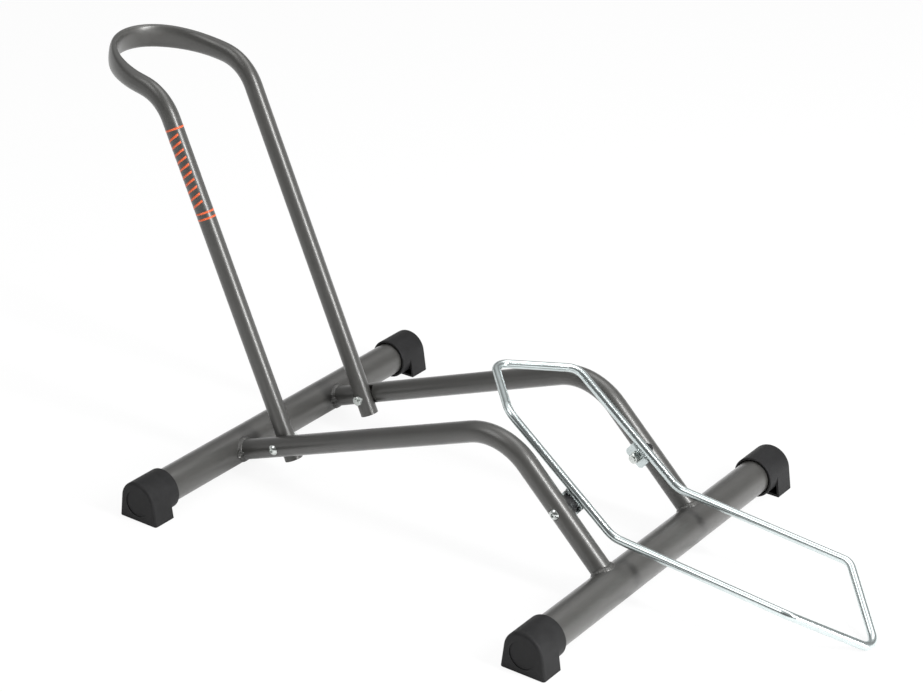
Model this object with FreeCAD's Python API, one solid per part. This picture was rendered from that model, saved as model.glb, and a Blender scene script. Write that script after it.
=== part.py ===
import FreeCAD, Part
import math
import os

# Floor bike rack: two floor tubes joined by two bent rails, a leaning hoop that holds the
# wheel upright, and a bent-wire cradle that tips about a bolt through each rail.
# X runs from the hoop end towards the wheel's entrance, Y along the floor tubes, Z up.
# Left is -Y and right is +Y, as seen by someone who pushes a bike in.
# The pieces are drawn with X = 0 at the rear floor tube's axis; on export they are moved
# along X so that the origin lies on the floor under the middle of the whole rack.

# ---- driving dimensions, millimetres and degrees ----
FLOOR_TUBE_D = 38.0        # outer diameter of the two floor tubes
FLOOR_TUBE_WALL = 1.5
TUBE_SPACING = 495.6       # X distance between the two floor tubes
TUBE_HALF_LENGTH = 233.0   # half length of a floor tube
AXIS_H = 22.6              # height of the floor tubes' axes above the floor

RAIL_D = 22.6
RAIL_WALL = 1.5
RAIL_Y = 80.9              # distance of a rail's axis from the middle plane
RAIL_REAR_Z = 18.7         # height of the rear run's axis line over the rear floor tube
RAIL_REAR_SLOPE = 0.380    # rise of the rear run per unit of X
RAIL_BEND_R = 67.0        # radius of the knee's centre line

HOOP_D = 20.0
HOOP_WALL = 1.5
HOOP_Y = 66.6              # distance of a leg's axis from the middle plane
HOOP_X = 74.4              # X of a leg's axis at the height of the floor tubes' axes
HOOP_LEAN = 0.433          # rearward travel of a leg per unit of height
LEG_END_Z = 24.9           # height of the centre of a leg's cut lower end
LEG_RUN = 393.2            # length of a leg from AXIS_H up to its bend
HOOP_BEND_R = 52.0         # radius of the bend from the leg into the bow
HOOP_BEND_DEG = 55.6
BOW_DEPTH = 87.6           # how far the bow reaches beyond the bend
BOW_THICK = 9.2            # thickness of the flattened tube in the bow
BOW_TALL = 27.0            # height of the flattened tube in the bow
BEND_FLATNESS = 0.3        # share of the flattening reached at the end of the bend
BEND_STEPS = 6             # sections along the bend
BOW_STEPS = 9              # sections along each half of the bow
FLATTEN_STEPS = 6          # sections of the bow over which it becomes fully flat
SEAT_GAP = 0.05            # play between a leg and the bottom of its notch in the rail
NOTCH_GAP = 0.5            # play on either side of a leg in its notch
NOTCH_BELOW = 60.0         # the notch's cutter, down and up from the floor tubes' axes
NOTCH_ABOVE = 110.0
OVAL_POINTS = 24           # points round one section of the hoop
OVAL_SQUARENESS = 0.7      # how full a flattened section is at its corners
LEG_LEAD = (12.0, 6.0)     # distances before the bend at which the leg has round sections
BORE_OVERRUN = 2.0         # how far the bore's cutter runs out of a leg's end

WIRE_D = 9.0
WIRE_Y = 61.8              # distance of the cradle's side wires from the middle plane
CRADLE_BACK = (355.0, 165.7)     # X, Z of the rear corners
CRADLE_TOP = (298.6, 176.6)      # X, Z of the wire's axis at the rear point
CRADLE_KNEE = (482.5, 64.1)      # X, Z of the knees
CRADLE_FRONT = (682.2, 46.3)     # X, Z of the front corners
CRADLE_TIP_X = 740.5             # X of the wire's axis at the tip, which rests on the floor
TOP_BEND_R = 14.0
TIP_BEND_R = 14.0
BACK_BEND_R = 22.0
KNEE_BEND_R = 27.0
FRONT_BEND_R = 16.0

PIVOT = (431.6, 86.1)      # X, Z of the cradle's axis
TAB_T = 4.2
TAB_HALF_W = 12.8
TAB_BELOW = 6.6            # tab material beyond the pivot, away from the wire
TAB_CORNER_R = 4.5

BOLT_D = 6.0
HEAD_D = 11.4
HEAD_H = 3.3
NUT_AF = 10.0
NUT_H = 5.0
NUT_TURN_DOWN = 0.9        # how far a nut's corners are turned down at its outer face
NUT_CONE_H = 3.0           # height of the 45 degree cone that turns them down
NUT_SEAT = 1.4             # how deep the hoop nut's face is shaped to the round leg
BOLT_SHOWS = 1.5           # pivot bolt beyond its nut
SOCKET_AF = 4.0
SOCKET_DEPTH = 2.0
RUN_GAP = 0.05             # radial play of the tab on its bolt
BODY_GAP = 0.3             # side play between the cradle and the rack
HEAD_SINK = 0.6            # how deep a bolt head's seat is faced into the round rail
SEAT_ROOM = 0.3            # radial room of that seat round the head

SPACER_D = 22.0
SPACER_BOSS_D = 15.0
SPACER_BOSS_H = 2.6
WASHER_D = 12.0
WASHER_T = 1.2

CAP_R = 22.7               # outer radius of the rubber cap's collar
CAP_GRIP = 37.8            # length of tube inside the cap
CAP_END_T = 4.2            # thickness of the cap beyond the tube's end
CAP_FOOT_LENGTH = 27.6     # from the inner face of the cap's foot to its end face
CAP_FOOT_HALF_W = 26.0
CAP_LAP = 8.0              # how far the collar runs into the foot
CAP_SKIN = 2.6
CAP_HOLLOW = 14.0          # depth of the hollow in the foot, from its inner face
CAP_LIP = 1.5              # width of the flared mouth round the tube
CAP_LIP_DEPTH = 3.0
CAP_MOUTH_R = 1.3          # rounding of the mouth's outer edge
CAP_SOLE_R = 1.0           # rounding of the sole's short edges
CAP_FACE_R = 15.0          # radius of the plain recess in the end face
CAP_FACE_DEPTH = 0.8
CAP_FACE_DROP = 1.5        # how far the recess lies below the tube's axis
CAP_EDGE_R = 3.2

BEAD_W = 3.0               # how far a weld reaches out from the rail and from the floor tube
LUMP_R = 4.3               # radius of the lump where a rear bead starts and stops
LUMP_RISE = 4.5            # height of the lump above the rail's axis line
LUMP_OUT = 1.2             # how far its centre lies outside the rail
TAB_BEAD_R = 2.3

NEAR = 0.01                # two places closer than this are taken as one

os.makedirs("parts", exist_ok=True)
V = FreeCAD.Vector
Y_AXIS = V(0, 1, 0)

tube_r = FLOOR_TUBE_D / 2
rail_r = RAIL_D / 2
leg_r = HOOP_D / 2
wire_r = WIRE_D / 2
front_x = TUBE_SPACING
cap_mouth_y = TUBE_HALF_LENGTH - CAP_GRIP
cap_end_y = TUBE_HALF_LENGTH + CAP_END_T
cap_foot_y = cap_end_y - CAP_FOOT_LENGTH

# ---- derived lines in the XZ plane ----
# The front run of a rail goes from the pivot down to the front floor tube's axis.
front_slope = (PIVOT[1] - AXIS_H) / (PIVOT[0] - front_x)
knee_x = (AXIS_H - front_slope * front_x - RAIL_REAR_Z) / (RAIL_REAR_SLOPE - front_slope)
knee_z = RAIL_REAR_Z + RAIL_REAR_SLOPE * knee_x
# The hoop bolt sits where a leg's axis crosses the rear run's axis.
cross_z = (RAIL_REAR_Z + RAIL_REAR_SLOPE * (HOOP_X + HOOP_LEAN * AXIS_H))
cross_z = cross_z / (1 + RAIL_REAR_SLOPE * HOOP_LEAN)
cross_x = HOOP_X - HOOP_LEAN * (cross_z - AXIS_H)
leg_dir = V(-HOOP_LEAN, 0, 1).normalize()


def rod(start, end, radius):
    """Solid cylinder between two points."""
    way = end - start
    return Part.makeCylinder(radius, way.Length, start, way)


def y_rod(x, z, y0, y1, radius):
    """Solid cylinder along Y."""
    return rod(V(x, y0, z), V(x, y1, z), radius)


def bend_data(before, corner, after, radius):
    """Tangent points, centre, axis and angle of a bend that rounds a corner."""
    a = (before - corner).normalize()
    b = (after - corner).normalize()
    half = a.getAngle(b) / 2
    tangent = radius / math.tan(half)
    start = corner + a * tangent
    end = corner + b * tangent
    centre = corner + (a + b).normalize() * (radius / math.sin(half))
    axis = (-a).cross(b)
    turn = math.degrees(math.pi - 2 * half)
    return start, end, centre, axis, turn


def bent_bar(points, radii, radius, closed=False):
    """Round bar of straight runs and bends, fused into one solid."""
    count = len(points)
    bends = []
    for i in range(count):
        if closed or 0 < i < count - 1:
            bends.append(bend_data(points[i - 1], points[i], points[(i + 1) % count], radii[i]))
        else:
            bends.append((points[i], points[i], None, None, 0))
    pieces = []
    runs = count if closed else count - 1
    for i in range(runs):
        pieces.append(rod(bends[i][1], bends[(i + 1) % count][0], radius))
    for start, end, centre, axis, turn in bends:
        if centre is None:
            continue
        heading = axis.cross(start - centre)
        disc = Part.Face(Part.Wire(Part.makeCircle(radius, start, heading)))
        pieces.append(disc.revolve(centre, axis, turn))
    return pieces[0].multiFuse(pieces[1:]).removeSplitter()


def hex_prism(x, z, y0, y1, across):
    """Hexagonal prism along Y."""
    corner_r = across / math.sqrt(3)
    corners = []
    for i in range(7):
        a = math.radians(60 * i + 30)
        corners.append(V(x + corner_r * math.cos(a), y0, z + corner_r * math.sin(a)))
    return Part.Face(Part.makePolygon(corners)).extrude(V(0, y1 - y0, 0))


def one_solid(shape):
    """The single solid of a result that holds one."""
    if len(shape.Solids) != 1:
        raise RuntimeError("expected one solid, found %d" % len(shape.Solids))
    return shape.Solids[0]


# ---- floor tubes ----
def floor_tube(x):
    outer = y_rod(x, AXIS_H, -TUBE_HALF_LENGTH, TUBE_HALF_LENGTH, tube_r)
    bore = y_rod(x, AXIS_H, -TUBE_HALF_LENGTH - 1, TUBE_HALF_LENGTH + 1, tube_r - FLOOR_TUBE_WALL)
    return outer.cut(bore)


def floor_tube_core(x):
    """The same tube without its bore, used to cope what is welded to it."""
    return y_rod(x, AXIS_H, -TUBE_HALF_LENGTH, TUBE_HALF_LENGTH, tube_r)


# ---- rails ----
def rail_points(side):
    return [V(0, side * RAIL_Y, RAIL_REAR_Z), V(knee_x, side * RAIL_Y, knee_z),
            V(front_x, side * RAIL_Y, AXIS_H)]


def leg_axis(side, z):
    return V(HOOP_X - HOOP_LEAN * (z - AXIS_H), side * HOOP_Y, z)


def notch(side):
    """Flat-bottomed notch across the inner side of a rail that takes a leg."""
    half_w = leg_r + NOTCH_GAP
    across = V(leg_dir.z, 0, -leg_dir.x) * half_w
    low = leg_axis(0, AXIS_H - NOTCH_BELOW)
    high = leg_axis(0, AXIS_H + NOTCH_ABOVE)
    outline = Part.makePolygon([low - across, low + across, high + across, high - across, low - across])
    return Part.Face(outline).extrude(Y_AXIS * (side * (HOOP_Y + leg_r + SEAT_GAP)))


def rail(side):
    outer = bent_bar(rail_points(side), [0, RAIL_BEND_R, 0], rail_r)
    inner = bent_bar(rail_points(side), [0, RAIL_BEND_R, 0], rail_r - RAIL_WALL)
    shape = outer.cut(inner).cut(notch(side))
    face = side * (RAIL_Y + rail_r)
    for x, z in ((cross_x, cross_z), PIVOT):
        shape = shape.cut(y_rod(x, z, 0, side * (RAIL_Y + FLOOR_TUBE_D), BOLT_D / 2))
        seat = y_rod(x, z, face - side * HEAD_SINK, face + side * HEAD_H, HEAD_D / 2 + SEAT_ROOM)
        shape = shape.cut(seat)
    for x in (0, front_x):
        shape = shape.cut(floor_tube_core(x))
    return one_solid(shape)


# ---- weld beads where a rail meets a floor tube ----
def bead(x, start, way, lumps):
    """Ring of weld in the corner between a rail and a floor tube."""
    way = way.normalize()
    skin = y_rod(x, AXIS_H, -TUBE_HALF_LENGTH, TUBE_HALF_LENGTH, tube_r + BEAD_W)
    ring = rod(start, start + way * FLOOR_TUBE_D * 2, rail_r + BEAD_W).common(skin)
    if lumps:
        for side in (-1, 1):
            foot = start + Y_AXIS * (side * (rail_r + LUMP_OUT)) + V(0, 0, LUMP_RISE)
            gap = foot - V(x, foot.y, AXIS_H)
            along = gap.dot(way)
            toe = foot + way * (math.sqrt(along * along - gap.Length ** 2 + tube_r ** 2) - along)
            ring = ring.fuse(Part.makeSphere(LUMP_R, toe))
    return one_solid(ring.cut(floor_tube_core(x)).cut(rod(start, start + way * FLOOR_TUBE_D * 3, rail_r)))


# ---- hoop ----
def oval(centre, u, v, half_u, half_v):
    """Closed smooth section with half sizes along u and v."""
    flat = 1 - min(half_u, half_v) / max(half_u, half_v)
    power = 2 / (2 + OVAL_SQUARENESS * flat)
    points = []
    for i in range(OVAL_POINTS):
        a = 2 * math.pi * i / OVAL_POINTS
        c = math.cos(a)
        s = math.sin(a)
        pu = math.copysign(abs(c) ** power, c) * half_u
        pv = math.copysign(abs(s) ** power, s) * half_v
        points.append(centre + u * pu + v * pv)
    curve = Part.BSplineCurve()
    curve.interpolate(Points=points, PeriodicFlag=True)
    return Part.Wire(curve.toShape())


def ease(t):
    """Smooth step from 0 to 1."""
    return t * t * (3 - 2 * t)


def bow_stations():
    """Centre, heading, outward direction and flatness along the left half of the bow."""
    lean = math.atan2(leg_dir.z, leg_dir.x)
    turn = math.radians(HOOP_BEND_DEG)
    found = []
    start = leg_axis(-1, AXIS_H) + leg_dir * LEG_RUN
    for back in LEG_LEAD:
        found.append((start - leg_dir * back, leg_dir, -Y_AXIS, 0.0))
    centre = start + V(-leg_dir.z, 0, leg_dir.x) * HOOP_BEND_R
    for i in range(BEND_STEPS + 1):
        a = lean + turn * i / BEND_STEPS
        heading = V(math.cos(a), 0, math.sin(a))
        spot = centre + V(heading.z, 0, -heading.x) * HOOP_BEND_R
        found.append((spot, heading, -Y_AXIS, BEND_FLATNESS * ease(i / BEND_STEPS)))
    out = found[-1][1]
    base = found[-1][0]
    for i in range(1, BOW_STEPS + 1):
        f = math.pi / 2 * i / BOW_STEPS
        spot = base + out * (BOW_DEPTH * math.sin(f)) + Y_AXIS * (HOOP_Y * (1 - math.cos(f)))
        heading = out * (BOW_DEPTH * math.cos(f)) + Y_AXIS * (HOOP_Y * math.sin(f))
        outward = out * (HOOP_Y * math.sin(f)) - Y_AXIS * (BOW_DEPTH * math.cos(f))
        flat = BEND_FLATNESS + (1 - BEND_FLATNESS) * ease(min(1, i / FLATTEN_STEPS))
        found.append((spot, heading.normalize(), outward.normalize(), flat))
    return found


def hoop_solid(thin):
    """Legs and bow of the hoop, thinned all round by a wall; both legs end open."""
    left = bow_stations()
    stations = list(left)
    for spot, heading, outward, flat in reversed(left[:-1]):
        stations.append((V(spot.x, -spot.y, spot.z), V(-heading.x, heading.y, -heading.z),
                         V(outward.x, -outward.y, outward.z), flat))
    sections = []
    for spot, heading, outward, flat in stations:
        half_thick = leg_r + (BOW_THICK / 2 - leg_r) * flat - thin
        half_tall = leg_r + (BOW_TALL / 2 - leg_r) * flat - thin
        sections.append(oval(spot, outward, heading.cross(outward), half_thick, half_tall))
    solid = Part.makeLoft(sections, True, False)
    overrun = BORE_OVERRUN if thin else 0
    for end, station in ((sections[0], stations[0]), (sections[-1], stations[-1])):
        drop = (station[0].z - LEG_END_Z) / leg_dir.z + overrun
        solid = solid.fuse(Part.Face(end).extrude(leg_dir * -drop))
    return solid


def hoop():
    shape = hoop_solid(0).cut(hoop_solid(HOOP_WALL))
    for side in (-1, 1):
        shape = shape.cut(y_rod(cross_x, cross_z, 0, side * (RAIL_Y + rail_r), BOLT_D / 2))
    return one_solid(shape)


# ---- fasteners ----
def button_bolt(x, z, side, end_y):
    """Button-head socket bolt whose head bears on the outside of a rail."""
    seat = RAIL_Y + rail_r - HEAD_SINK
    dome_r = (HEAD_D * HEAD_D / 4 + HEAD_H * HEAD_H) / (2 * HEAD_H)
    dome = Part.makeSphere(dome_r, V(x, side * (seat + HEAD_H - dome_r), z))
    head = dome.common(y_rod(x, z, side * seat, side * (seat + HEAD_H + 1), HEAD_D / 2))
    shape = head.fuse(y_rod(x, z, side * end_y, side * seat, BOLT_D / 2))
    top = seat + HEAD_H
    return shape.cut(hex_prism(x, z, side * (top - SOCKET_DEPTH), side * (top + 1), SOCKET_AF))


def hex_nut(x, z, side, inner_y, outer_y):
    """Hex nut with its corners turned down on the face that shows."""
    body = hex_prism(x, z, side * inner_y, side * outer_y, NUT_AF)
    corner_r = NUT_AF / math.sqrt(3)
    tip_r = corner_r - NUT_TURN_DOWN
    cone = Part.makeCone(tip_r, tip_r + NUT_CONE_H, NUT_CONE_H, V(x, side * inner_y, z), V(0, side, 0))
    rest = y_rod(x, z, side * (inner_y + NUT_CONE_H), side * outer_y, corner_r + NUT_CONE_H)
    body = body.common(cone.fuse(rest))
    return body.cut(y_rod(x, z, side * (inner_y - 1), side * (outer_y + 1), BOLT_D / 2))


def pair(maker):
    """The left and right copies of a fastener as one group of separate solids."""
    return Part.makeCompound([maker(-1), maker(1)])


leg_face = HOOP_Y - leg_r
tab_inner = WIRE_Y - TAB_T / 2
tab_outer = WIRE_Y + TAB_T / 2
washer_top = tab_inner - BODY_GAP
nut_top = washer_top - WASHER_T
spacer_end = tab_outer + BODY_GAP


def seated_nut(side):
    """Hoop nut; its face is shaped to the round leg that it bears on."""
    nut = hex_nut(cross_x, cross_z, side, leg_face - NUT_H + NUT_SEAT, leg_face + NUT_SEAT)
    leg = rod(leg_axis(side, LEG_END_Z), leg_axis(side, cross_z + HOOP_D * 2), leg_r)
    return one_solid(nut.cut(leg))


def washer(side):
    disc = y_rod(PIVOT[0], PIVOT[1], side * nut_top, side * washer_top, WASHER_D / 2)
    hole = y_rod(PIVOT[0], PIVOT[1], side * (nut_top - 1), side * (washer_top + 1), BOLT_D / 2)
    return disc.cut(hole)


def spacer(side):
    """Plastic spacer with a saddle towards the rail and a round boss towards the tab."""
    x, z = PIVOT
    body = y_rod(x, z, side * (spacer_end + SPACER_BOSS_H), side * RAIL_Y, SPACER_D / 2)
    body = body.fuse(y_rod(x, z, side * spacer_end, side * RAIL_Y, SPACER_BOSS_D / 2))
    body = body.cut(bent_bar(rail_points(side), [0, RAIL_BEND_R, 0], rail_r))
    body = body.cut(y_rod(x, z, side * (spacer_end - 1), side * (RAIL_Y + rail_r), BOLT_D / 2))
    return min(body.Solids, key=lambda s: abs(s.CenterOfMass.y))


# ---- cradle ----
def wire_point(xz, y):
    return V(xz[0], y, xz[1])


def sharp_corner(side_xz, point_xz, radius):
    """Corner in the middle plane whose bend brings the wire through a given point."""
    side = wire_point(side_xz, 0)
    way = wire_point(point_xz, 0) - side
    reach = way.Length
    for _ in range(30):
        reach = way.Length + radius * (math.hypot(reach, WIRE_Y) / WIRE_Y - 1)
    return side + way.normalize() * reach


def cradle_points():
    top = sharp_corner(CRADLE_BACK, CRADLE_TOP, TOP_BEND_R)
    tip = sharp_corner(CRADLE_FRONT, (CRADLE_TIP_X, wire_r), TIP_BEND_R)
    right = [wire_point(xz, WIRE_Y) for xz in (CRADLE_BACK, CRADLE_KNEE, CRADLE_FRONT)]
    left = [V(p.x, -p.y, p.z) for p in reversed(right)]
    return right + [tip] + left + [top]


def cradle_loop():
    side_radii = [BACK_BEND_R, KNEE_BEND_R, FRONT_BEND_R]
    radii = side_radii + [TIP_BEND_R] + side_radii[::-1] + [TOP_BEND_R]
    return one_solid(bent_bar(cradle_points(), radii, wire_r, True))


wire_way = V(CRADLE_KNEE[0] - CRADLE_BACK[0], 0, CRADLE_KNEE[1] - CRADLE_BACK[1]).normalize()
wire_down = V(wire_way.z, 0, -wire_way.x)
to_pivot = V(PIVOT[0] - CRADLE_BACK[0], 0, PIVOT[1] - CRADLE_BACK[1])
pivot_drop = to_pivot.dot(wire_down)


def tab_blank(side):
    """Tab before its corners, its hole and the groove for the wire are made."""
    hub = V(PIVOT[0], side * WIRE_Y - TAB_T / 2, PIVOT[1])
    high = -wire_down * pivot_drop
    low = wire_down * TAB_BELOW
    wide = wire_way * TAB_HALF_W
    corners = [hub + high - wide, hub + high + wide, hub + low + wide, hub + low - wide]
    return Part.Face(Part.makePolygon(corners + [corners[0]])).extrude(V(0, TAB_T, 0))


def wire_core(side):
    """Straight stretch of side wire that carries the tab."""
    return rod(wire_point(CRADLE_BACK, side * WIRE_Y), wire_point(CRADLE_KNEE, side * WIRE_Y), wire_r)


def tab(side):
    """Plate welded under a side wire; its free corners are rounded."""
    hub = V(PIVOT[0], side * WIRE_Y, PIVOT[1])
    plate = tab_blank(side)
    free = []
    for edge in plate.Edges:
        if abs(edge.Length - TAB_T) < NEAR and (edge.CenterOfMass - hub).dot(wire_down) > 0:
            free.append(edge)
    plate = plate.makeFillet(TAB_CORNER_R, free).cut(wire_core(side))
    return one_solid(plate.cut(y_rod(PIVOT[0], PIVOT[1], 0, side * RAIL_Y, BOLT_D / 2 + RUN_GAP)))


def tab_bead(side, face):
    """Weld fillet between a side wire and one face of its tab."""
    drop = math.sqrt(wire_r * wire_r - TAB_T * TAB_T / 4)
    level = side * WIRE_Y + face * TAB_T / 2
    mid = V(PIVOT[0], level, PIVOT[1]) + wire_down * (drop - pivot_drop)
    reach = wire_way * TAB_HALF_W
    run = rod(mid - reach, mid + reach, TAB_BEAD_R)
    for end in (mid - reach, mid + reach):
        run = run.fuse(Part.makeSphere(TAB_BEAD_R, end))
    return one_solid(run.cut(wire_core(side)).cut(tab_blank(side)))


# ---- rubber caps ----
def foot_outline(y, inset):
    """D-shaped outline: round over the top, splayed sides down to a flat sole."""
    r = CAP_R - inset
    half_w = CAP_FOOT_HALF_W - inset
    drop = AXIS_H - inset
    reach = math.hypot(half_w, drop)
    a = math.atan2(-drop, half_w) + math.acos(r / reach)
    right = V(r * math.cos(a), y, AXIS_H + r * math.sin(a))
    left = V(-right.x, y, right.z)
    sole_right = V(half_w, y, inset)
    sole_left = V(-half_w, y, inset)
    arc = Part.Arc(right, V(0, y, AXIS_H + r), left).toShape()
    edges = [Part.makeLine(sole_left, sole_right), Part.makeLine(sole_right, right), arc,
             Part.makeLine(left, sole_left)]
    return Part.Face(Part.Wire(edges))


def cap(x, side):
    foot = foot_outline(cap_foot_y, 0).extrude(V(0, CAP_FOOT_LENGTH, 0))
    rounded = []
    for edge in foot.Edges:
        low = edge.CenterOfMass.z < NEAR
        outer_face = abs(edge.CenterOfMass.y - cap_end_y) < NEAR
        if outer_face and not low:
            rounded.append(edge)
    foot = foot.makeFillet(CAP_EDGE_R, rounded)
    sole_edges = [e for e in foot.Edges if abs(e.CenterOfMass.z) < NEAR]
    foot = foot.makeFillet(CAP_SOLE_R, [e for e in sole_edges if e.Length < 1.5 * CAP_FOOT_HALF_W])
    collar = y_rod(0, AXIS_H, cap_mouth_y, cap_foot_y + CAP_LAP, CAP_R)
    mouth_edges = [e for e in collar.Edges if abs(e.CenterOfMass.y - cap_mouth_y) < NEAR]
    collar = collar.makeFillet(CAP_MOUTH_R, [e for e in mouth_edges if e.Length > CAP_R])
    shape = foot.fuse(collar)
    hollow = foot_outline(cap_foot_y - 1, CAP_SKIN).extrude(V(0, CAP_HOLLOW + 1, 0))
    hollow = hollow.cut(y_rod(0, AXIS_H, cap_foot_y - 2, cap_foot_y + CAP_HOLLOW + 1, CAP_R))
    shape = shape.cut(hollow)
    shape = shape.cut(y_rod(0, AXIS_H, cap_mouth_y - 1, TUBE_HALF_LENGTH, tube_r))
    flare = Part.makeCone(tube_r + CAP_LIP, tube_r, CAP_LIP_DEPTH, V(0, cap_mouth_y, AXIS_H), Y_AXIS)
    shape = shape.cut(flare)
    recess = y_rod(0, AXIS_H - CAP_FACE_DROP, cap_end_y - CAP_FACE_DEPTH, cap_end_y + 1, CAP_FACE_R)
    shape = one_solid(shape.cut(recess))
    if side < 0:
        shape = shape.mirror(V(0, 0, 0), Y_AXIS)
    shape.translate(V(x, 0, 0))
    return one_solid(shape)


# ---- build and write every sub-part ----
shapes = {
    "rear_floor_tube": floor_tube(0),
    "front_floor_tube": floor_tube(front_x),
    "hoop": hoop(),
    "hoop_bolts": pair(lambda s: button_bolt(cross_x, cross_z, s, leg_face - NUT_H)),
    "hoop_nuts": pair(seated_nut),
    "pivot_bolts": pair(lambda s: button_bolt(PIVOT[0], PIVOT[1], s, nut_top - NUT_H - BOLT_SHOWS)),
    "pivot_washers": pair(washer),
    "pivot_nuts": pair(lambda s: hex_nut(PIVOT[0], PIVOT[1], s, nut_top - NUT_H, nut_top)),
    "cradle_loop": cradle_loop(),
    "cradle_tab_welds": Part.makeCompound([tab_bead(s, f) for s in (-1, 1) for f in (-1, 1)]),
}
rear_way = V(1, 0, RAIL_REAR_SLOPE)
front_way = V(-1, 0, -front_slope)
for side, word in ((-1, "left"), (1, "right")):
    rear_start = V(0, side * RAIL_Y, RAIL_REAR_Z)
    front_start = V(front_x, side * RAIL_Y, AXIS_H)
    shapes["rail_" + word] = rail(side)
    shapes["rear_weld_" + word] = bead(0, rear_start, rear_way, True)
    shapes["front_weld_" + word] = bead(front_x, front_start, front_way, False)
    shapes["cap_rear_" + word] = cap(0, side)
    shapes["cap_front_" + word] = cap(front_x, side)
    shapes["cradle_tab_" + word] = tab(side)
    shapes["pivot_spacer_" + word] = spacer(side)

x_low = shapes["hoop"].optimalBoundingBox().XMin
x_high = shapes["cradle_loop"].optimalBoundingBox().XMax
middle_x = (x_low + x_high) / 2
print("rear floor tube's axis at x = %.4f" % -middle_x)
for name, shape in shapes.items():
    shape.translate(V(-middle_x, 0, 0))
    shape.exportStep("parts/%s.step" % name)
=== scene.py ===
"""Looks of a floor bike rack: satin painted tubes, a zinc wire cradle and moulded rubber feet."""

import math

import bmesh
import bpy
from bpy.props import FloatProperty, FloatVectorProperty, IntProperty, PointerProperty
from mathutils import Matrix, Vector


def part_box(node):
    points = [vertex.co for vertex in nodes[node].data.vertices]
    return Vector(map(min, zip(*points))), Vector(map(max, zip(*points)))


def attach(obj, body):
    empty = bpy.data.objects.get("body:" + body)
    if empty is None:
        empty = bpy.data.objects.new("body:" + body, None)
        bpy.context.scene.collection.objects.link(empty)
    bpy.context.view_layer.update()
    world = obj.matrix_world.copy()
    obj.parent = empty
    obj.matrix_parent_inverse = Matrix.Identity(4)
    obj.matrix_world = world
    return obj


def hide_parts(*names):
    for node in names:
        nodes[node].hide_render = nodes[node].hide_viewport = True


bl_info = {
    "name": "Floor Bike Rack",
    "version": (1, 0, 0),
    "blender": (4, 5, 0),
    "location": "View3D > Sidebar > Bike Rack",
    "description": "Finishes and small parts of a free-standing floor bike rack",
    "category": "Object",
}

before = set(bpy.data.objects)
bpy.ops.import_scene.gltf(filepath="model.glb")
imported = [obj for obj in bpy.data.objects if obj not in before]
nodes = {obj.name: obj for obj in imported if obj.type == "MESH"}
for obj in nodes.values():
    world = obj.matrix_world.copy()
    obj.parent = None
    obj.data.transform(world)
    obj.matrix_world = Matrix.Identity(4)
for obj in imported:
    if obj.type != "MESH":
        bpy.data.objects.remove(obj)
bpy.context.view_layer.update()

MM = 0.001
TURN = 2 * math.pi
SIDES = {"left": -1, "right": 1}

TUBES = ("rear_floor_tube", "front_floor_tube", "rail_left", "rail_right", "hoop")
CAPS = ("cap_rear_left", "cap_rear_right", "cap_front_left", "cap_front_right")
WIRES = ("cradle_loop", "cradle_tab_left", "cradle_tab_right")
FASTENERS = ("hoop_bolts", "hoop_nuts", "pivot_bolts", "pivot_nuts", "pivot_washers")
SPACERS = ("pivot_spacer_left", "pivot_spacer_right")


# ---- places read from the frame ----
def middle(node):
    low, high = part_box(node)
    return (low + high) / 2


def half_size(node):
    low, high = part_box(node)
    return (high - low) / 2


REAR_AXIS = middle("rear_floor_tube")
FRONT_AXIS = middle("front_floor_tube")
PIVOT = middle("pivot_washers")
TUBE_R = half_size("rear_floor_tube").z
RAIL_Y = middle("rail_right").y
RAIL_R = half_size("rail_right").y
TAB_Y = middle("cradle_tab_right").y
TAB_HALF_T = half_size("cradle_tab_right").y

# ---- lines of the solids that the frame doesn't name ----
REAR_RUN_Z = 18.7 * MM                    # height of a rail's axis over the rear floor tube
REAR_WAY = Vector((1, 0, 0.380)).normalized()
FRONT_WAY = Vector((-1, 0, 0.992)).normalized()
LEG_FOOT = REAR_AXIS + Vector((74.4 * MM, -66.6 * MM, 0))
LEG_WAY = Vector((-0.433, 0, 1)).normalized()
LEG_R = 10.0 * MM
WIRE_R = 4.5 * MM
WIRE_WAY = Vector((127.5, 0, -101.6)).normalized()
WIRE_DOWN = Vector((WIRE_WAY.z, 0, -WIRE_WAY.x))
WIRE_OVER_PIVOT = 14.5 * MM               # from the pivot up to the side wire's axis
TAB_HALF_W = 12.8 * MM

# ---- rippled beads between rails and floor tubes ----
RIPPLE_STEPS = 4                          # points along one ripple
RIPPLE_SWELL = 0.045                      # growth of the bead over one ripple, as a share
BEAD_WAVER = 0.04                         # slow change of its size round the rail, as a share
BEAD_WAVES = 5
CUP_TURNS = (math.radians(-4), math.radians(184))   # where rear beads start and stop, round the rail
CUP_R = 4.5 * MM
CUP_OUT = 2.0 * MM                        # how far a cup's middle stands out of the corner
CUP_RIM = 0.55                            # height of its rim, as a share of its radius
CUP_SLOPE = 2.1                           # how steeply it falls inside the rim

# ---- lumpy beads along the cradle's tabs ----
BLOBS = 7
BLOB_STEPS = 6                            # points along one blob
BLOB_WAIST = 0.62                         # radius between two blobs, and what a blob adds to it
BLOB_BULGE = 0.42
BLOB_WAVER = 0.1
TAB_BEAD_OUT = 0.5 * MM                   # how far the bead's axis lies off the tab's face
TAB_BEAD_DOWN = 0.3 * MM                  # and below the line where wire and tab meet
TAB_BEAD_WANDER = 0.3 * MM

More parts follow.
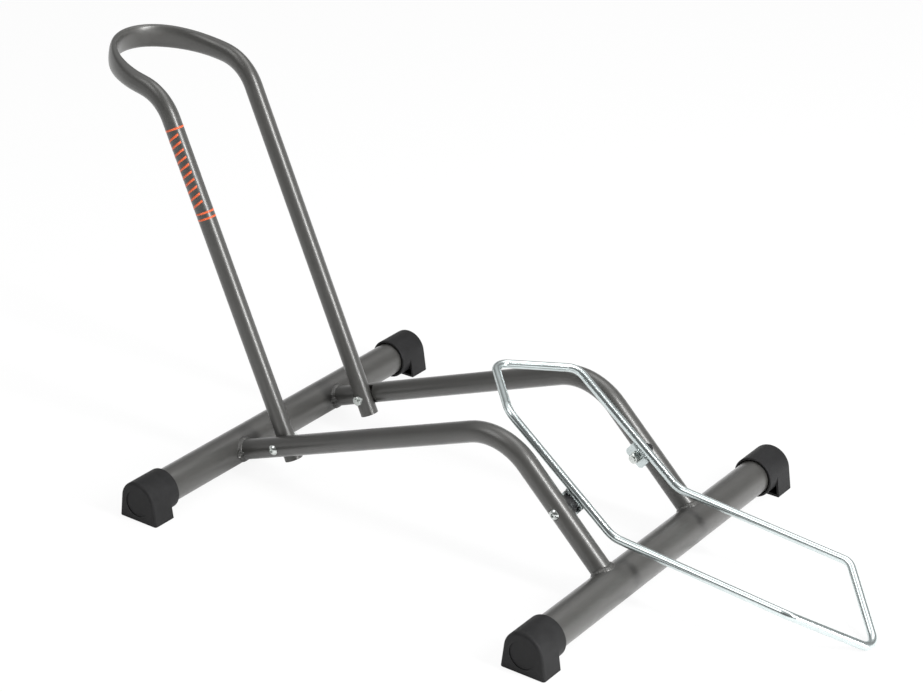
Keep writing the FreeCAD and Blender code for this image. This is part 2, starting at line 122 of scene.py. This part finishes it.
# ---- stripes on the left leg ----
RING_H = 2.2 * MM
RING_PITCH = 3.0                          # from the first ring to the second one, in ring heights
RING_CLEAR = 2.5                          # from a ring's middle to the bars, in ring heights
BAR_HALF_ANGLE = math.radians(56)
BAR_H = 0.30                              # a bar's height and slant, as shares of the bars' spacing
BAR_SLANT = 0.8
PATCH_CELLS = 14                          # cells of a printed patch for each radian of its half angle
PATCH_LIFT = 0.12 * MM                    # from the leg to the outside of the print
PATCH_SKIN = 0.1 * MM

MERGE = 0.01 * MM                         # points nearer than this become one
DUST_COLOUR = (0.26, 0.25, 0.24)

# ---- stage; the camera looks at a point in the middle plane, given from the rear floor tube's axis ----
LOOK_AT = Vector((REAR_AXIS.x + 0.25078, 0, 0.18541))
DARK_WALL = Vector((0.53, -0.73, 0.43)).normalized()    # the unlit side of the studio
FILL = 0.50                               # even light from all round
MIRRORED_FLOOR = 0.20                     # share of plain white in the floor's reflection
LAMPS_AIM = Vector((0, 0, 0.1))
LAMPS = (                                 # name, place and size in metres, power in watts
    ("key", (-0.8, -1.5, 2.3), (1.3, 1.3), 15),
    ("top", (0.3, 0.9, 2.4), (1.8, 1.2), 15),
    ("strip", (2.1, 0.0, 1.15), (0.36, 2.0), 80),
)


# ---- sizes and colours that a user would change ----
class RackPaint(bpy.types.PropertyGroup):
    colour: FloatVectorProperty(name="Paint colour", description="Base colour of the painted tubes",
                                subtype="COLOR", size=3, min=0, max=1, default=(0.050, 0.0493, 0.046))
    roughness: FloatProperty(name="Paint roughness", description="Sheen of the paint, low is glossy",
                             subtype="FACTOR", min=0, max=1, default=0.40)
    flake: FloatProperty(name="Flake size", description="Size of the metallic flakes in the paint",
                         subtype="DISTANCE", unit="LENGTH", min=0.0001, max=0.01, default=0.0008)


class RackPrint(bpy.types.PropertyGroup):
    colour: FloatVectorProperty(name="Stripe colour", description="Colour of the stripes on the left leg",
                                subtype="COLOR", size=3, min=0, max=1, default=(0.62, 0.090, 0.014))
    low: FloatProperty(name="Lower end", description="Where the stripes start, up the leg",
                       subtype="DISTANCE", unit="LENGTH", min=0.05, max=0.38, default=0.281)
    high: FloatProperty(name="Upper end", description="Where the stripes end, up the leg",
                        subtype="DISTANCE", unit="LENGTH", min=0.06, max=0.39, default=0.384)
    bars: IntProperty(name="Slanted bars", description="Bars between the rings", min=1, max=40, default=10)


class RackZinc(bpy.types.PropertyGroup):
    colour: FloatVectorProperty(name="Zinc colour", description="Colour of the plated wire",
                                subtype="COLOR", size=3, min=0, max=1, default=(0.60, 0.66, 0.66))
    fastener: FloatVectorProperty(name="Fastener colour", description="Colour of bolts and nuts",
                                  subtype="COLOR", size=3, min=0, max=1, default=(0.64, 0.67, 0.65))
    roughness: FloatProperty(name="Zinc roughness", description="Sheen of the plating",
                             subtype="FACTOR", min=0, max=1, default=0.22)


class RackRubber(bpy.types.PropertyGroup):
    colour: FloatVectorProperty(name="Rubber colour", description="Base colour of the foot caps",
                                subtype="COLOR", size=3, min=0, max=1, default=(0.010, 0.010, 0.0104))
    grain: FloatProperty(name="Moulded grain", description="Size of the grain on the caps",
                         subtype="DISTANCE", unit="LENGTH", min=0.0001, max=0.01, default=0.0009)


class RackWeld(bpy.types.PropertyGroup):
    thickness: FloatProperty(name="Bead radius", description="Radius of a weld bead's face on the tubes",
                             subtype="DISTANCE", unit="LENGTH", min=0.002, max=0.01, default=0.0058)
    depth: FloatProperty(name="Bead depth", description="How deep the bead's axis sits in its corner",
                         subtype="DISTANCE", unit="LENGTH", min=0, max=0.01, default=0.0035)
    ripples: IntProperty(name="Ripples", description="Ripples round one bead", min=4, max=120, default=34)
    tab: FloatProperty(name="Tab bead radius", description="Radius of the weld along a tab",
                       subtype="DISTANCE", unit="LENGTH", min=0.0005, max=0.01, default=0.0024)


class RackStage(bpy.types.PropertyGroup):
    distance: FloatProperty(name="Camera distance", description="From the camera to what it looks at",
                            subtype="DISTANCE", unit="LENGTH", min=0.5, max=10, default=2.5024)
    azimuth: FloatProperty(name="Azimuth", description="Camera's turn about the vertical",
                           subtype="ANGLE", unit="ROTATION", default=math.radians(36.25))
    elevation: FloatProperty(name="Elevation", description="Camera's height as an angle",
                             subtype="ANGLE", unit="ROTATION", default=math.radians(25.47))
    lens: FloatProperty(name="Lens", description="Focal length on a 36 mm wide frame, in millimetres",
                        min=10, max=300, default=93.7)
    floor: FloatProperty(name="Floor size", description="Side of the square floor",
                         subtype="DISTANCE", unit="LENGTH", min=1, max=60, default=24)
    paleness: FloatProperty(name="Backdrop share", description="Share of plain white in the floor's look",
                            subtype="FACTOR", min=0, max=1, default=0.90)


GROUPS = {"rack_paint": RackPaint, "rack_print": RackPrint, "rack_zinc": RackZinc,
          "rack_rubber": RackRubber, "rack_weld": RackWeld, "rack_stage": RackStage}


# ---- materials ----
class Signal:
    """A shader value; arithmetic on it adds Math nodes."""

    def __init__(self, graph, socket):
        self.graph = graph
        self.socket = socket

    def _math(self, operation, first, second):
        return self.graph.node("Math", {"operation": operation}, {0: first, 1: second})

    def __add__(self, other):
        return self._math("ADD", self, other)

    __radd__ = __add__

    def __sub__(self, other):
        return self._math("SUBTRACT", self, other)

    def __rsub__(self, other):
        return self._math("SUBTRACT", other, self)

    def __mul__(self, other):
        return self._math("MULTIPLY", self, other)

    __rmul__ = __mul__


class Graph:
    """A node tree to which nodes are added by one call each."""

    def __init__(self, tree):
        self.tree = tree

    def feed(self, socket, value):
        """Link a signal to a socket, or write a plain value on it."""
        if isinstance(value, Signal):
            self.tree.links.new(value.socket, socket)
        elif hasattr(value, "__len__") and len(socket.default_value) == 4:
            socket.default_value = (*tuple(value)[:3], 1)
        else:
            socket.default_value = value

    def node(self, kind, settings=None, inputs=None, output=0):
        """Add a node: its settings first, then the values or links of its sockets."""
        node = self.tree.nodes.new("ShaderNode" + kind)
        for key, value in (settings or {}).items():
            if key == "stops":
                self._stops(node.color_ramp, value)
            else:
                setattr(node, key, value)
        for key, value in (inputs or {}).items():
            self.feed(node.inputs[key], value)
        return Signal(self, node.outputs[output])

    @staticmethod
    def _stops(ramp, stops):
        while len(ramp.elements) < len(stops):
            ramp.elements.new(1)
        for element, (place, level) in zip(ramp.elements, stops):
            element.position = place
            element.color = (level, level, level, 1)

    def ramp(self, value, *stops):
        return self.node("ValToRGB", {"stops": stops}, {0: value})

    def larger(self, first, second):
        return self.node("Math", {"operation": "MAXIMUM"}, {0: first, 1: second})

    def seen(self, share, mirrored):
        """A share where a ray comes from the camera or glass, another one from a mirror, else 0."""
        rays = [self.node("LightPath", output="Is %s Ray" % kind)
                for kind in ("Camera", "Transmission", "Glossy")]
        return self.larger(self.larger(rays[0], rays[1]) * share, rays[2] * mirrored)


class Finish(Graph):
    """A procedural material built on one Principled shader."""

    def __init__(self, name, **fixed):
        self.material = bpy.data.materials.new(name)
        self.material.use_nodes = True
        super().__init__(self.material.node_tree)
        self.shader = self.tree.nodes["Principled BSDF"]
        for socket, value in fixed.items():
            self.shader.inputs[socket.replace("_", " ")].default_value = value

    def place(self):
        return self.node("TexCoord", output="Object")

    def noise(self, size, detail=3, rough=0.5):
        """Cloudy value whose features are about one size across, in metres."""
        inputs = {"Vector": self.place(), "Scale": 1 / size, "Detail": detail, "Roughness": rough}
        return self.node("TexNoise", None, inputs)

    def cells(self, size):
        """Distance from the middle of the nearest of many cells, each about one size across."""
        return self.node("TexVoronoi", None, {"Vector": self.place(), "Scale": 1 / size})

    def blend(self, factor, first, second):
        """Colour between two colours."""
        return self.node("Mix", {"data_type": "RGBA"}, {0: factor, 6: first, 7: second}, 2)

    def relief(self, height, depth, strength, under=None):
        """Normal bent by a height map whose full step is a depth in metres."""
        inputs = {"Height": height, "Distance": depth, "Strength": strength}
        if under is not None:
            inputs["Normal"] = under
        return self.node("Bump", None, inputs)

    def shade(self, **sockets):
        for name, value in sockets.items():
            self.feed(self.shader.inputs[name.replace("_", " ")], value)
        return self.material


def tinted(colour, gain):
    return tuple(min(1, c * gain) for c in colour)


# In each material below, a noise's first number is the size of its features and a relief's
# second one is its depth. Ramps hold pairs of a place on the pattern and the level there.
def paint(props, name="rack_paint", lumpy=False):
    """Satin metallic grey paint with fine flakes, a faint orange peel and light dust."""
    finish = Finish(name, Coat_Roughness=0.30, Specular_IOR_Level=0.5)
    flakes = finish.cells(props.flake)
    sparkle = finish.ramp(flakes, (0.0, 1.0), (0.5, 0.15), (1.0, 0.0))
    mottle = finish.noise(45 * MM, 4)
    dust = finish.ramp(finish.noise(12 * MM, 6, 0.65), (0.52, 0.0), (0.78, 1.0))
    base = finish.blend(mottle, tinted(props.colour, 0.84), tinted(props.colour, 1.16))
    base = finish.blend(sparkle * 0.25, base, tinted(props.colour, 2.0))
    base = finish.blend(dust * 0.05, base, DUST_COLOUR)
    normal = finish.relief(finish.noise(2.2 * MM, 2), 0.06 * MM, 0.25)
    normal = finish.relief(sparkle, 0.02 * MM, 0.2, normal)
    if lumpy:
        normal = finish.relief(finish.noise(1.6 * MM), 0.4 * MM, 0.6, normal)
    rough = props.roughness + (finish.noise(20 * MM) - 0.5) * 0.14 + dust * 0.08
    return finish.shade(Base_Color=base, Roughness=rough, Metallic=0.35, Coat_Weight=0.75 - dust * 0.2,
                        Normal=normal)


def stripe_ink(props):
    """Printed orange with thin, slightly worn spots."""
    finish = Finish("stripe_ink", Specular_IOR_Level=0.5, Coat_Roughness=0.15)
    cover = finish.noise(6 * MM, 5, 0.7)
    worn = finish.ramp(finish.noise(1.4 * MM, 4, 0.7), (0.62, 0.0), (0.78, 1.0))
    base = finish.blend(cover, tinted(props.colour, 0.85), tinted(props.colour, 1.1))
    base = finish.blend(worn * 0.5, base, tinted(props.colour, 0.4))
    rough = 0.42 + (cover - 0.5) * 0.2
    return finish.shade(Base_Color=base, Roughness=rough, Metallic=0.0, Coat_Weight=0.5 - worn * 0.3)


def zinc(props, name, colour, lumpy=False):
    """Bright zinc plating with soft blue patches and fine grain; a weld is lumpy and has dark spots too."""
    finish = Finish(name)
    patches = finish.noise(20 * MM, 2)
    grain = finish.ramp(finish.noise(1.1 * MM, 4, 0.7), (0.5, 0.0), (0.85, 1.0))
    cool = finish.blend(patches, tinted(colour, 0.86), tinted(colour, 1.12))
    base = finish.blend(grain * 0.2, cool, tinted(colour, 0.7))
    rough = props.roughness + (patches - 0.5) * 0.10
    normal = finish.relief(patches, 0.1 * MM, 0.1)
    if lumpy:
        normal = finish.relief(finish.noise(1.1 * MM), 0.5 * MM, 0.8, normal)
        # A weld's dark spots: at random places its base colour falls towards 0.12 of the zinc colour.
        dark_spots = finish.ramp(finish.noise(1.8 * MM, 2), (0.42, 1.0), (0.55, 0.0))
        base = finish.blend(dark_spots * 0.75, base, tinted(colour, 0.12))
    return finish.shade(Base_Color=base, Roughness=rough, Metallic=1.0, Normal=normal)


def rubber(props):
    """Matt black rubber with a fine spark-eroded grain, its peaks lightened as wear and painted sheen, and
    grey bloom.
    """
    finish = Finish("foot_rubber", Specular_IOR_Level=0.17)
    grain = finish.noise(props.grain, 4, 0.6)
    # Wear and painted sheen: the raised peaks of the grain are lightened towards three times the rubber
    # colour.
    wear_and_sheen = finish.ramp(grain, (0.5, 0.0), (0.75, 1.0))
    bloom = finish.ramp(finish.noise(14 * MM, 5, 0.6), (0.42, 0.0), (0.75, 1.0))
    base = finish.blend(bloom, props.colour, tinted(props.colour, 1.7))
    base = finish.blend(wear_and_sheen * 0.5, base, tinted(props.colour, 3.0))
    rough = 0.52 + (grain - 0.5) * 0.3 + bloom * 0.12
    normal = finish.relief(grain, 0.35 * MM, 0.6)
    return finish.shade(Base_Color=base, Roughness=rough, Metallic=0.0, Normal=normal)


def plastic(props):
    """Black moulded plastic with a light satin grain."""
    finish = Finish("spacer_plastic", Specular_IOR_Level=0.5)
    grain = finish.noise(1.2 * MM)
    cloud = finish.noise(8 * MM)
    base = finish.blend(cloud, props.colour, tinted(props.colour, 1.5))
    rough = 0.30 + (grain - 0.5) * 0.12 + (cloud - 0.5) * 0.1
    normal = finish.relief(grain, 0.06 * MM, 0.3)
    return finish.shade(Base_Color=base, Roughness=rough, Metallic=0.0, Normal=normal)


def dress(names, material):
    """Give carried-over CAD nodes a material."""
    for name in names:
        for slot in nodes[name].material_slots:
            slot.material = material


def props_of(name):
    return getattr(bpy.context.scene, name)


# ---- making pieces ----
def piece(name, form, material, body):
    """Turn a mesh under construction into an object that rides on a body."""
    bmesh.ops.remove_doubles(form, verts=form.verts, dist=MERGE)
    bmesh.ops.recalc_face_normals(form, faces=form.faces)
    for face in form.faces:
        face.smooth = True
    mesh = bpy.data.meshes.new(name)
    form.to_mesh(mesh)
    form.free()
    made = bpy.data.objects.new(name, mesh)
    mesh.materials.append(material)
    bpy.context.scene.collection.objects.link(made)
    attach(made, body)
    return made


def run_bead(form, points, sizes, closed):
    """Add a round bead of changing thickness along points to a mesh under construction."""
    curve = bpy.data.curves.new("bead_line", "CURVE")
    curve.dimensions = "3D"
    curve.bevel_depth = 1.0
    curve.bevel_resolution = 3
    curve.use_fill_caps = not closed
    line = curve.splines.new("POLY")
    line.points.add(len(points) - 1)
    for knot, spot, size in zip(line.points, points, sizes):
        knot.co = (*spot, 1)
        knot.radius = size
    line.use_cyclic_u = closed
    holder = bpy.data.objects.new("bead_line", curve)
    mesh = bpy.data.meshes.new_from_object(holder)
    form.from_mesh(mesh)
    bpy.data.objects.remove(holder)
    bpy.data.curves.remove(curve)
    bpy.data.meshes.remove(mesh)


def corner_spot(start, way, floor_axis, turn, outward):
    """Point in the corner between a rail and a floor tube, and the way out of the corner there."""
    out = Vector((0, math.cos(turn), 0)) + way.cross(Vector((0, 1, 0))) * math.sin(turn)
    foot = start + out * RAIL_R
    gap = foot - Vector((floor_axis.x, foot.y, floor_axis.z))
    along = gap.dot(way)
    toe = foot + way * (math.sqrt(along * along - gap.length_squared + TUBE_R * TUBE_R) - along)
    off_tube = (toe - Vector((floor_axis.x, toe.y, floor_axis.z))).normalized()
    way_out = (out + off_tube).normalized()
    return toe + way_out * outward, way_out


def crater(form, spot, way_out, size):
    """Add the small cup that is left where a bead starts or stops."""
    made = bmesh.ops.create_uvsphere(form, u_segments=24, v_segments=18, radius=size)["verts"]
    spin = Vector((0, 0, 1)).rotation_difference(way_out).to_matrix()
    bmesh.ops.rotate(form, verts=made, cent=(0, 0, 0), matrix=spin)
    for vert in made:
        rise = vert.co.dot(way_out) / size
        if rise > CUP_RIM:
            vert.co -= way_out * size * CUP_SLOPE * (rise - CUP_RIM)
    bmesh.ops.translate(form, verts=made, vec=spot)


def leg_patch(form, at, height, half_angle, slant):
    """Add a thin patch that hugs the left leg's outer side, at a distance up the leg."""
    cells = int(half_angle * PATCH_CELLS)
    made = bmesh.ops.create_grid(form, x_segments=cells, y_segments=1, size=1)["verts"]
    out = Vector((0, -1, 0))
    across = LEG_WAY.cross(out)
    for vert in made:
        a = vert.co.x * half_angle
        up = at + vert.co.y * height / 2 + vert.co.x * slant / 2
        vert.co = LEG_FOOT + LEG_WAY * up + (out * math.cos(a) + across * math.sin(a)) * (LEG_R + PATCH_LIFT)
    faces = {face for vert in made for face in vert.link_faces}
    bmesh.ops.remove_doubles(form, verts=made, dist=MERGE)
    faces = [face for face in faces if face.is_valid]
    bmesh.ops.recalc_face_normals(form, faces=faces)
    bmesh.ops.solidify(form, geom=faces, thickness=PATCH_SKIN)


# ---- operators ----
class FinishTubes(bpy.types.Operator):
    """Paint the floor tubes, the rails and the hoop"""
    bl_idname = "rack.finish_tubes"
    bl_label = "Painted Tubes"

    def execute(self, context):
        dress(TUBES, paint(props_of("rack_paint")))
        return {"FINISHED"}


class BuildStripes(bpy.types.Operator):
    """Three plain rings and a row of slanted bars printed on the left leg"""
    bl_idname = "rack.build_stripes"
    bl_label = "Leg Stripes"

    def execute(self, context):
        props = props_of("rack_print")
        first = props.low + RING_H / 2
        second = first + RING_PITCH * RING_H
        last = props.high - RING_H / 2
        form = bmesh.new()
        for at in (first, second, last):
            leg_patch(form, at, RING_H, math.pi, 0)
        start = second + RING_CLEAR * RING_H
        pitch = (last - RING_CLEAR * RING_H - start) / props.bars
        for i in range(props.bars):
            leg_patch(form, start + (i + 0.5) * pitch, pitch * BAR_H, BAR_HALF_ANGLE, pitch * BAR_SLANT)
        piece("leg_stripes", form, stripe_ink(props), "rack")
        return {"FINISHED"}


class BuildWelds(bpy.types.Operator):
    """Rippled beads where the rails meet the floor tubes"""
    bl_idname = "rack.build_welds"
    bl_label = "Frame Welds"

    def execute(self, context):
        props = props_of("rack_weld")
        material = paint(props_of("rack_paint"), "weld_paint", True)
        for word, side in SIDES.items():
            rear = Vector((REAR_AXIS.x, side * RAIL_Y, REAR_RUN_Z))
            front = Vector((FRONT_AXIS.x, side * RAIL_Y, FRONT_AXIS.z))
            self.ring("rear_weld_" + word, props, material, rear, REAR_WAY, REAR_AXIS, True)
            self.ring("front_weld_" + word, props, material, front, FRONT_WAY, FRONT_AXIS, False)
        return {"FINISHED"}

    def ring(self, node, props, material, start, way, floor_axis, craters):
        """One bead; each ripple swells and then drops, as a hand-laid one does."""
        count = props.ripples * RIPPLE_STEPS
        points = []
        sizes = []
        for i in range(count):
            turn = TURN * i / count
            ripple = RIPPLE_SWELL * (i % RIPPLE_STEPS) / (RIPPLE_STEPS - 1)
            swell = 1 + ripple + BEAD_WAVER * math.sin(BEAD_WAVES * turn)
            points.append(corner_spot(start, way, floor_axis, turn, -props.depth)[0])
            sizes.append(props.thickness * swell)
        form = bmesh.new()
        run_bead(form, points, sizes, True)
        if craters:
            for turn in CUP_TURNS:
                spot, way_out = corner_spot(start, way, floor_axis, turn, CUP_OUT)
                crater(form, spot, way_out, CUP_R)
        made = piece(node.replace("weld", "bead"), form, material, "rack")
        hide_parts(node)


class BuildTabWelds(bpy.types.Operator):
    """Lumpy beads along both faces of the cradle's tabs"""
    bl_idname = "rack.build_tab_welds"
    bl_label = "Tab Welds"

    def execute(self, context):
        props = props_of("rack_weld")
        zinc_props = props_of("rack_zinc")
        material = zinc(zinc_props, "weld_zinc", zinc_props.colour, True)
        drop = math.sqrt(WIRE_R * WIRE_R - TAB_HALF_T * TAB_HALF_T)
        form = bmesh.new()
        for side in SIDES.values():
            for face in (-1, 1):
                level = Vector((PIVOT.x, side * TAB_Y + face * (TAB_HALF_T + TAB_BEAD_OUT), PIVOT.z))
                seam = level + WIRE_DOWN * (drop - WIRE_OVER_PIVOT + TAB_BEAD_DOWN)
                self.bead(form, seam, props.tab, side * 2 + face)
        made = piece("tab_beads", form, material, "cradle")
        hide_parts("cradle_tab_welds")
        return {"FINISHED"}

    def bead(self, form, seam, size, key):
        """A row of blobs, each a little higher or lower than the last; the key makes beads differ."""
        count = BLOBS * BLOB_STEPS
        points = []
        sizes = []
        for i in range(count + 1):
            along = 2 * i / count - 1
            wander = math.sin(i * 0.9 + key) * TAB_BEAD_WANDER
            points.append(seam + WIRE_WAY * (along * TAB_HALF_W) + WIRE_DOWN * wander)
            bulge = abs(math.sin(math.pi * i / BLOB_STEPS))
            sizes.append(size * (BLOB_WAIST + BLOB_BULGE * bulge + BLOB_WAVER * math.sin(i * 1.7 + key)))
        run_bead(form, points, sizes, False)


class FinishCradle(bpy.types.Operator):
    """Plate the wire loop, its tabs and the fasteners"""
    bl_idname = "rack.finish_cradle"
    bl_label = "Zinc Parts"

    def execute(self, context):
        props = props_of("rack_zinc")
        dress(WIRES, zinc(props, "wire_zinc", props.colour))
        dress(FASTENERS, zinc(props, "fastener_zinc", props.fastener))
        return {"FINISHED"}


class FinishRubber(bpy.types.Operator):
    """Give the caps their rubber and the spacers their plastic"""
    bl_idname = "rack.finish_rubber"
    bl_label = "Rubber and Plastic"

    def execute(self, context):
        props = props_of("rack_rubber")
        dress(CAPS, rubber(props))
        dress(SPACERS, plastic(props))
        return {"FINISHED"}


class BuildStage(bpy.types.Operator):
    """Floor, soft lights, white surroundings and the camera"""
    bl_idname = "rack.build_stage"
    bl_label = "Stage"

    def execute(self, context):
        props = props_of("rack_stage")
        self.floor(props)
        self.surroundings(context.scene)
        self.lamps()
        self.camera(context.scene, props)
        return {"FINISHED"}

    def floor(self, props):
        mesh = bpy.data.meshes.new("stage_floor")
        form = bmesh.new()
        bmesh.ops.create_grid(form, x_segments=1, y_segments=1, size=props.floor / 2)
        form.to_mesh(mesh)
        form.free()
        plane = bpy.data.objects.new("stage_floor", mesh)
        bpy.context.scene.collection.objects.link(plane)
        finish = Finish("floor_white", Specular_IOR_Level=0.0, Roughness=1.0)
        cloud = finish.noise(0.6, 2)
        finish.shade(Base_Color=finish.blend(cloud, (0.93, 0.93, 0.93), (0.95, 0.95, 0.95)))
        glow = finish.node("Emission", None, {"Color": (1, 1, 1), "Strength": 1.0})
        lit = Signal(finish, finish.shader.outputs[0])
        share = finish.seen(props.paleness, MIRRORED_FLOOR)
        look = finish.node("MixShader", None, {0: share, 1: lit, 2: glow})
        finish.feed(finish.tree.nodes["Material Output"].inputs["Surface"], look)
        mesh.materials.append(finish.material)

    def surroundings(self, scene):
        """White backdrop, a dimmer upper studio for reflections and an even fill light."""
        world = bpy.data.worlds.new("studio")
        world.use_nodes = True
        scene.world = world
        graph = Graph(world.node_tree)
        heading = graph.node("TexCoord", output="Generated")
        height = graph.node("SeparateXYZ", None, {0: heading}, 2)
        studio = graph.ramp(height, (0.10, 1.0), (0.24, 0.33), (0.55, 0.36), (0.80, 1.0))
        front = graph.node("VectorMath", {"operation": "DOT_PRODUCT"}, {0: heading, 1: DARK_WALL}, 1)
        studio = studio * graph.ramp(front, (0.35, 1.0), (0.75, 0.38))
        mirror = graph.node("LightPath", output="Is Glossy Ray")
        plain = graph.larger(graph.node("LightPath", output="Is Camera Ray"),
                             graph.node("LightPath", output="Is Transmission Ray"))
        level = mirror * studio + (1 - mirror) * (FILL + plain * (1 - FILL))
        graph.feed(graph.tree.nodes["Background"].inputs["Strength"], level)
        graph.feed(graph.tree.nodes["Background"].inputs["Color"], (1, 1, 1))

    def lamps(self):
        for name, place, size, power in LAMPS:
            light = bpy.data.lights.new(name, "AREA")
            light.shape = "RECTANGLE"
            light.size, light.size_y = size
            light.energy = power
            lamp = bpy.data.objects.new(name, light)
            lamp.location = place
            lamp.rotation_euler = (LAMPS_AIM - Vector(place)).to_track_quat("-Z", "Y").to_euler()
            bpy.context.scene.collection.objects.link(lamp)

    def camera(self, scene, props):
        lens = bpy.data.cameras.new("camera")
        lens.sensor_width = 36
        lens.sensor_fit = "HORIZONTAL"
        lens.lens = props.lens
        lens.clip_end = 50
        back = Vector((math.sin(props.azimuth) * math.cos(props.elevation),
                       -math.cos(props.azimuth) * math.cos(props.elevation), math.sin(props.elevation)))
        camera = bpy.data.objects.new("camera", lens)
        camera.rotation_euler = back.to_track_quat("Z", "Y").to_euler()
        camera.location = LOOK_AT + back * props.distance
        scene.collection.objects.link(camera)
        scene.camera = camera
        scene.view_settings.view_transform = "Standard"


OPERATORS = (FinishTubes, BuildStripes, BuildWelds, BuildTabWelds, FinishCradle, FinishRubber, BuildStage)


class RackPanel(bpy.types.Panel):
    bl_idname = "VIEW3D_PT_bike_rack"
    bl_label = "Bike Rack"
    bl_space_type = "VIEW_3D"
    bl_region_type = "UI"
    bl_category = "Bike Rack"

    def draw(self, context):
        for operator in OPERATORS:
            self.layout.operator(operator.bl_idname)
        for name, group in GROUPS.items():
            box = self.layout.box()
            for key in group.__annotations__:
                box.prop(getattr(context.scene, name), key)


def register():
    for group in GROUPS.values():
        bpy.utils.register_class(group)
    for name, group in GROUPS.items():
        setattr(bpy.types.Scene, name, PointerProperty(type=group))
    for operator in OPERATORS:
        bpy.utils.register_class(operator)
    bpy.utils.register_class(RackPanel)


def unregister():
    bpy.utils.unregister_class(RackPanel)
    for operator in reversed(OPERATORS):
        bpy.utils.unregister_class(operator)
    for name in GROUPS:
        delattr(bpy.types.Scene, name)
    for group in reversed(list(GROUPS.values())):
        bpy.utils.unregister_class(group)


def main():
    register()
    bpy.ops.rack.finish_tubes()
    bpy.ops.rack.build_stripes()
    bpy.ops.rack.build_welds()
    bpy.ops.rack.build_tab_welds()
    bpy.ops.rack.finish_cradle()
    bpy.ops.rack.finish_rubber()
    bpy.ops.rack.build_stage()


if __name__ == "__main__":
    main()
